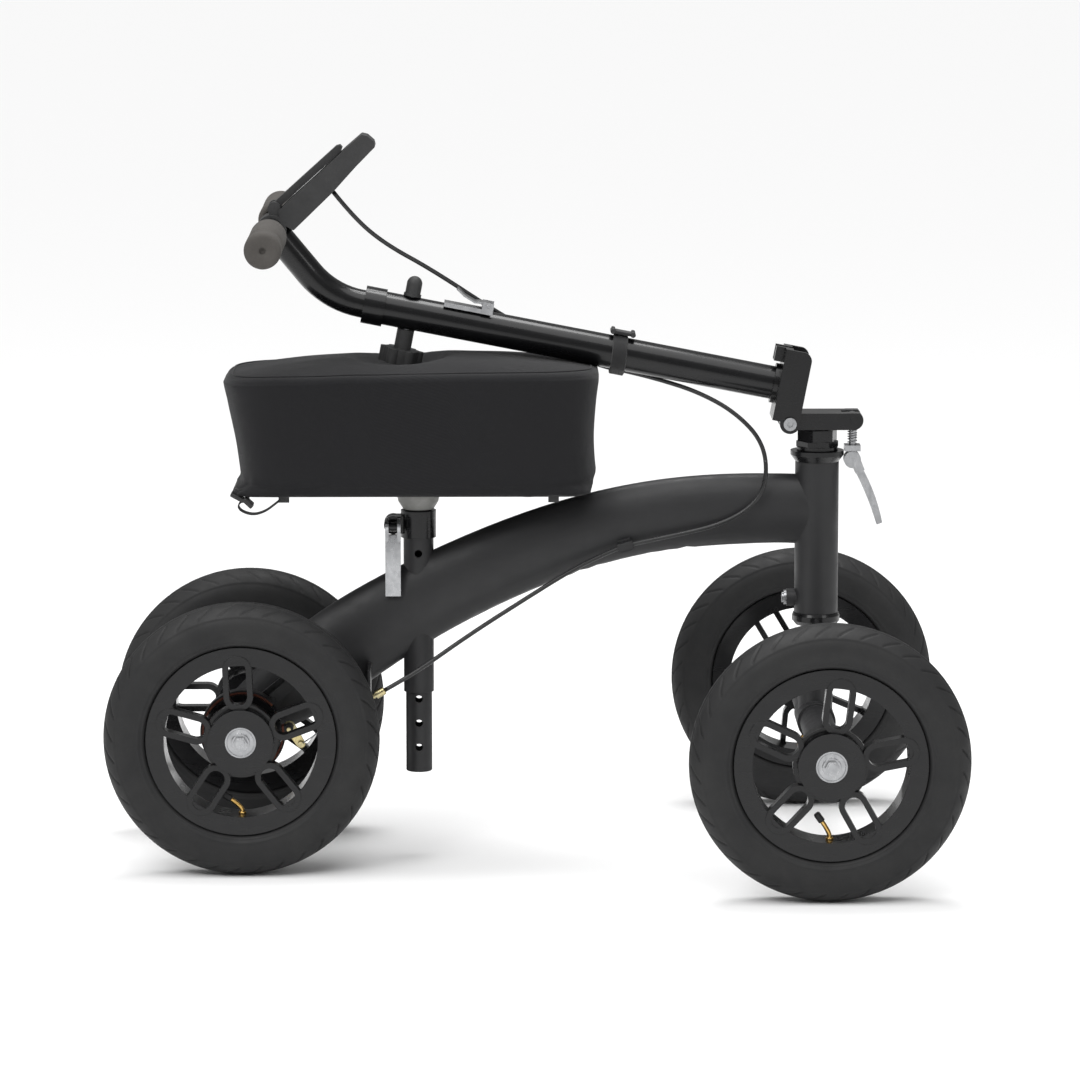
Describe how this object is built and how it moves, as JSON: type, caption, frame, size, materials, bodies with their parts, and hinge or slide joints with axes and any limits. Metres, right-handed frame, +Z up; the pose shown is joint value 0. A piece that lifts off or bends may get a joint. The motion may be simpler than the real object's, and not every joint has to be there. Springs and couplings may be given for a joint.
{
  "type": "knee scooter",
  "caption": "Folding steerable knee scooter with air-filled tyres, a padded knee rest on an arched beam and a handlebar column laid back over the pad.",
  "frame": {"origin": "on the floor, midway between the front and rear axles, on the middle plane", "axes": "+X forward, +Y to the rider's left, +Z up"},
  "size_m": [0.966, 0.6016, 0.8277],
  "materials": {
    "satin_black": "satin powder coat",
    "gloss_black": "gloss paint",
    "zinc_steel": "bright zinc",
    "brass_zinc": "yellow zinc",
    "brake_lining": "woven friction lining",
    "webbing": "woven nylon",
    "grip_foam": "foam",
    "black_plastic": "textured",
    "pad_fabric": "stretch knit cover over foam",
    "cable_housing": "smooth PVC",
    "tyre_rubber": "moulded tread",
    "tube_rubber": "butyl"
  },
  "bodies": {
    "frame": {"main_frame": "satin_black", "stop_bolt": "zinc_steel", "headset_cups": "gloss_black", "rear_axle": "zinc_steel", "brake_backing_plate": "satin_black", "brake_lining": "brake_lining", "brake_band": "satin_black", "cable_adjuster": "brass_zinc", "brake_wire": "zinc_steel", "brake_cable_lower": "cable_housing", "brake_cable_loop_lower": "cable_housing", "cable_guide": "satin_black", "seat_clamp": "gloss_black"},
    "steering": {"steerer_tube": "gloss_black", "front_axle_beam": "satin_black", "front_axle": "zinc_steel", "headset_nuts": "gloss_black", "hinge_base": "satin_black"},
    "column": {"hinge_head": "gloss_black", "hinge_pin": "zinc_steel", "column_tube": "gloss_black", "column_collar": "gloss_black", "latch_base": "zinc_steel", "cable_strap": "webbing", "brake_cable_upper": "cable_housing", "brake_cable_loop_upper": "cable_housing"},
    "handlebar": {"handlebar_stem": "gloss_black", "grips": "grip_foam", "brake_handle": "black_plastic"},
    "brake_lever": {"brake_lever": "black_plastic"},
    "brake_arm": {"brake_arm": "brass_zinc"},
    "swing_bolt": {"swing_bolt": "zinc_steel", "swing_bolt_spring": "zinc_steel"},
    "hinge_lever": {"hinge_lever": "zinc_steel"},
    "latch_lever": {"latch_lever": "zinc_steel"},
    "height_bolt": {"height_bolt": "black_plastic", "height_bolt_shank": "zinc_steel"},
    "seat": {"seat_post": "satin_black", "seat_flange": "gloss_black", "pad_board": "black_plastic", "knee_pad": "pad_fabric", "pad_strap": "webbing"},
    "seat_lever": {"seat_lever": "zinc_steel"},
    "front_right_wheel": {"front_right_tyre": "tyre_rubber", "front_right_inner_tube": "tube_rubber", "front_right_rim": "gloss_black", "front_right_bearings": "zinc_steel"},
    "front_left_wheel": {"front_left_tyre": "tyre_rubber", "front_left_inner_tube": "tube_rubber", "front_left_rim": "gloss_black", "front_left_bearings": "zinc_steel"},
    "rear_right_wheel": {"rear_right_tyre": "tyre_rubber", "rear_right_inner_tube": "tube_rubber", "rear_right_rim": "gloss_black", "rear_right_bearings": "zinc_steel", "brake_drum": "gloss_black"},
    "rear_left_wheel": {"rear_left_tyre": "tyre_rubber", "rear_left_inner_tube": "tube_rubber", "rear_left_rim": "gloss_black", "rear_left_bearings": "zinc_steel"}
  },
  "joints": [
    {"name": "steer", "type": "hinge", "parent": "frame", "child": "steering", "pos_m": [0.327, 0, 0.35], "axis": [0, 0, 1], "range_deg": [-35, 35], "deforming": ["brake_cable_loop_lower"]},
    {"name": "column_fold", "type": "hinge", "parent": "steering", "child": "column", "pos_m": [0.294, 0, 0.5], "axis": [0, 1, 0], "range_deg": [0, 79], "deforming": ["brake_cable_loop_upper"]},
    {"name": "handlebar_height", "type": "slide", "parent": "column", "child": "handlebar", "axis": [-0.9816, 0, 0.1908], "range_m": [0, 0.12], "deforming": ["brake_cable_upper"]},
    {"name": "brake_lever_pull", "type": "hinge", "parent": "handlebar", "child": "brake_lever", "pos_m": [-0.28993, 0, 0.74442], "axis": [0, -1, 0], "range_deg": [0, 20]},
    {"name": "brake_arm_turn", "type": "hinge", "parent": "frame", "child": "brake_arm", "pos_m": [-0.27503, -0.071, 0.15963], "axis": [0, -1, 0], "range_deg": [0, 4], "deforming": ["brake_wire"]},
    {"name": "swing_bolt_turn", "type": "hinge", "parent": "steering", "child": "swing_bolt", "pos_m": [0.367, 0, 0.503], "axis": [0, 1, 0], "range_deg": [-180, 0]},
    {"name": "hinge_lever_turn", "type": "hinge", "parent": "swing_bolt", "child": "hinge_lever", "pos_m": [0.367, 0, 0.456], "axis": [0, 1, 0], "range_deg": [0, 135]},
    {"name": "latch_lever_turn", "type": "hinge", "parent": "column", "child": "latch_lever", "pos_m": [-0.04796, 0, 0.63269], "axis": [0, 1, 0], "range_deg": [0, 80]},
    {"name": "height_bolt_turn", "type": "hinge", "parent": "column", "child": "height_bolt", "pos_m": [-0.13823, 0, 0.62426], "axis": [0.1908, 0, 0.9816], "range_deg": [0, 360]},
    {"name": "seat_height", "type": "slide", "parent": "frame", "child": "seat", "axis": [0, 0, 1], "range_m": [0, 0.0735]},
    {"name": "seat_lever_turn", "type": "hinge", "parent": "frame", "child": "seat_lever", "pos_m": [-0.15725, -0.0219, 0.382], "axis": [-1, 0, 0], "range_deg": [0, 100]},
    {"name": "front_right_wheel_spin", "type": "hinge", "parent": "steering", "child": "front_right_wheel", "pos_m": [0.327, -0.265, 0.156], "axis": [0, 1, 0], "continuous": true},
    {"name": "front_left_wheel_spin", "type": "hinge", "parent": "steering", "child": "front_left_wheel", "pos_m": [0.327, 0.265, 0.156], "axis": [0, 1, 0], "continuous": true},
    {"name": "rear_right_wheel_spin", "type": "hinge", "parent": "frame", "child": "rear_right_wheel", "pos_m": [-0.327, -0.12, 0.156], "axis": [0, 1, 0], "continuous": true},
    {"name": "rear_left_wheel_spin", "type": "hinge", "parent": "frame", "child": "rear_left_wheel", "pos_m": [-0.327, 0.12, 0.156], "axis": [0, 1, 0], "continuous": true}
  ],
  "couplings": [
    {"joint": "seat_height", "follows": "column_fold", "m_per_rad": 0.0533},
    {"joint": "brake_arm_turn", "follows": "brake_lever_pull", "ratio": 0.2},
    {"joint": "hinge_lever_turn", "follows": "swing_bolt_turn", "ratio": -0.75}
  ]
}
